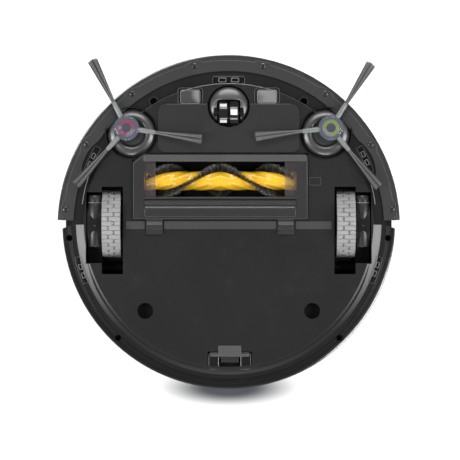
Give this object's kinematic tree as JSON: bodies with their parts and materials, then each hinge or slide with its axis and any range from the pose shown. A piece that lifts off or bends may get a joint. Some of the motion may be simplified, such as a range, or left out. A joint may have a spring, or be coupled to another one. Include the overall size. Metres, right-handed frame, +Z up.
{
  "type": "robot vacuum",
  "caption": "Low round robot vacuum with a sprung front bumper, drive wheels, swivel caster, side brushes, offset roller brush under a hinged cover, dust bin lid and laser turret.",
  "frame": {"origin": "centre of the round body, on the floor", "axes": "+Z up, the bumper faces -Y, +X to the right when seen from below with the bumper up"},
  "size_m": [0.343, 0.335, 0.0955],
  "materials": {
    "pan_plastic": "fine texture",
    "shell_plastic": "satin",
    "bumper_plastic": "fine texture",
    "gloss_black": "gloss",
    "cover_grey": "satin",
    "yellow_plastic": "semi gloss",
    "bristle_grey": "soft bristle",
    "tyre_grey": "matt rubber",
    "rubber_black": "matt",
    "steel": "brushed",
    "contact_metal": "satin plated",
    "red_plastic": "gloss",
    "green_plastic": "gloss",
    "smoke_plastic": "clear tinted",
    "sensor_window": "dark infrared window",
    "white_plastic": "gloss",
    "board_green": "solder mask",
    "filter_fibre": "pleated"
  },
  "bodies": {
    "chassis": {"base_pan": "pan_plastic", "caster_plate": "pan_plastic", "body_shell": "shell_plastic", "top_cover": "shell_plastic", "shell_screws": "steel", "charge_contacts": "contact_metal", "front_cliff_sensor": "sensor_window", "side_cliff_sensors": "sensor_window", "caster_socket": "gloss_black", "side_brush_pod_left": "gloss_black", "side_brush_pod_right": "gloss_black", "side_brush_motor_left": "shell_plastic", "side_brush_motor_right": "shell_plastic", "brush_tunnel": "shell_plastic", "brush_bearings": "yellow_plastic", "brush_gearbox": "shell_plastic", "brush_motor": "steel", "main_board": "board_green", "battery_pack": "shell_plastic", "dust_bin": "smoke_plastic", "bin_filter": "filter_fibre", "fan_housing": "shell_plastic", "fan_motor": "steel", "lidar_base": "gloss_black", "lidar_cap": "gloss_black", "rear_latch_frame": "pan_plastic", "arm_pivot_pins": "steel", "arm_springs": "steel", "bumper_switches": "shell_plastic", "lid_hinge_pins": "steel"},
    "bumper": {"bumper_shell": "bumper_plastic", "bumper_screws": "steel", "bumper_window": "sensor_window"},
    "wheel_arm_left": {"wheel_arm_left": "shell_plastic", "drive_motor_left": "steel"},
    "wheel_arm_right": {"wheel_arm_right": "shell_plastic", "drive_motor_right": "steel"},
    "wheel_left": {"tyre_left": "tyre_grey", "rim_left": "shell_plastic"},
    "wheel_right": {"tyre_right": "tyre_grey", "rim_right": "shell_plastic"},
    "caster_fork": {"caster_ball": "gloss_black", "caster_axle": "steel"},
    "caster_roller": {"caster_wheel": "white_plastic"},
    "main_brush": {"brush_core": "yellow_plastic", "brush_bristles": "bristle_grey"},
    "side_brush_left": {"side_brush_hub_left": "smoke_plastic", "side_brush_ring_left": "red_plastic", "side_brush_arms_left": "bristle_grey"},
    "side_brush_right": {"side_brush_hub_right": "smoke_plastic", "side_brush_ring_right": "green_plastic", "side_brush_arms_right": "bristle_grey"},
    "brush_hatch": {"brush_cover": "cover_grey", "cover_windows": "smoke_plastic", "rubber_blade": "rubber_black"},
    "lid": {"bin_lid": "gloss_black"},
    "laser_head": {"lidar_rotor": "gloss_black"},
    "fan_rotor": {"fan_impeller": "white_plastic"},
    "button": {"start_button": "gloss_black"},
    "latch": {"latch_tongue": "steel"}
  },
  "joints": [
    {"name": "bumper_press", "type": "slide", "parent": "chassis", "child": "bumper", "axis": [0, 1, 0], "range_m": [0, 0.004], "stiffness_N_per_m": 600, "springref_m": -0.002},
    {"name": "arm_droop_left", "type": "hinge", "parent": "chassis", "child": "wheel_arm_left", "pos_m": [-0.1175, 0.046, 0.04], "axis": [1, 0, 0], "range_deg": [0, 27], "stiffness_Nm_per_rad": 0.28, "springref_deg": 51.57},
    {"name": "arm_droop_right", "type": "hinge", "parent": "chassis", "child": "wheel_arm_right", "pos_m": [0.1175, 0.046, 0.04], "axis": [1, 0, 0], "range_deg": [0, 27], "stiffness_Nm_per_rad": 0.28, "springref_deg": 51.57},
    {"name": "wheel_spin_left", "type": "hinge", "parent": "wheel_arm_left", "child": "wheel_left", "pos_m": [-0.1175, 0.0015, 0.034], "axis": [1, 0, 0], "continuous": true},
    {"name": "wheel_spin_right", "type": "hinge", "parent": "wheel_arm_right", "child": "wheel_right", "pos_m": [0.1175, 0.0015, 0.034], "axis": [1, 0, 0], "continuous": true},
    {"name": "caster_swivel", "type": "hinge", "parent": "chassis", "child": "caster_fork", "pos_m": [0, -0.116, 0.02], "axis": [0, 0, 1], "continuous": true},
    {"name": "caster_roll", "type": "hinge", "parent": "caster_fork", "child": "caster_roller", "pos_m": [0, -0.1095, 0.012], "axis": [1, 0, 0], "continuous": true},
    {"name": "main_brush_spin", "type": "hinge", "parent": "chassis", "child": "main_brush", "pos_m": [-0.0085, -0.0416, 0.022], "axis": [1, 0, 0], "continuous": true},
    {"name": "side_brush_spin_left", "type": "hinge", "parent": "chassis", "child": "side_brush_left", "pos_m": [-0.102, -0.094, 0.005], "axis": [0, 0, 1], "continuous": true},
    {"name": "side_brush_spin_right", "type": "hinge", "parent": "chassis", "child": "side_brush_right", "pos_m": [0.102, -0.094, 0.005], "axis": [0, 0, 1], "continuous": true},
    {"name": "brush_hatch_hinge", "type": "hinge", "parent": "chassis", "child": "brush_hatch", "pos_m": [-0.0085, -0.0669, 0.0092], "axis": [-1, 0, 0], "range_deg": [0, 75], "deforming": ["side_brush_arms_left", "side_brush_arms_right"]},
    {"name": "lid_hinge", "type": "hinge", "parent": "chassis", "child": "lid", "pos_m": [0, 0.0063, 0.0765], "axis": [1, 0, 0], "range_deg": [0, 95]},
    {"name": "laser_spin", "type": "hinge", "parent": "chassis", "child": "laser_head", "pos_m": [0, 0.118, 0.08], "axis": [0, 0, 1], "continuous": true},
    {"name": "fan_spin", "type": "hinge", "parent": "chassis", "child": "fan_rotor", "pos_m": [-0.048, 0.112, 0.03], "axis": [0, 0, 1], "continuous": true},
    {"name": "button_press", "type": "slide", "parent": "chassis", "child": "button", "axis": [0, 0, -1], "range_m": [0, 0.0015], "stiffness_N_per_m": 300, "springref_m": -0.001},
    {"name": "latch_slide", "type": "slide", "parent": "chassis", "child": "latch", "axis": [0, 1, 0], "range_m": [0, 0.003], "stiffness_N_per_m": 200, "springref_m": -0.002}
  ]
}
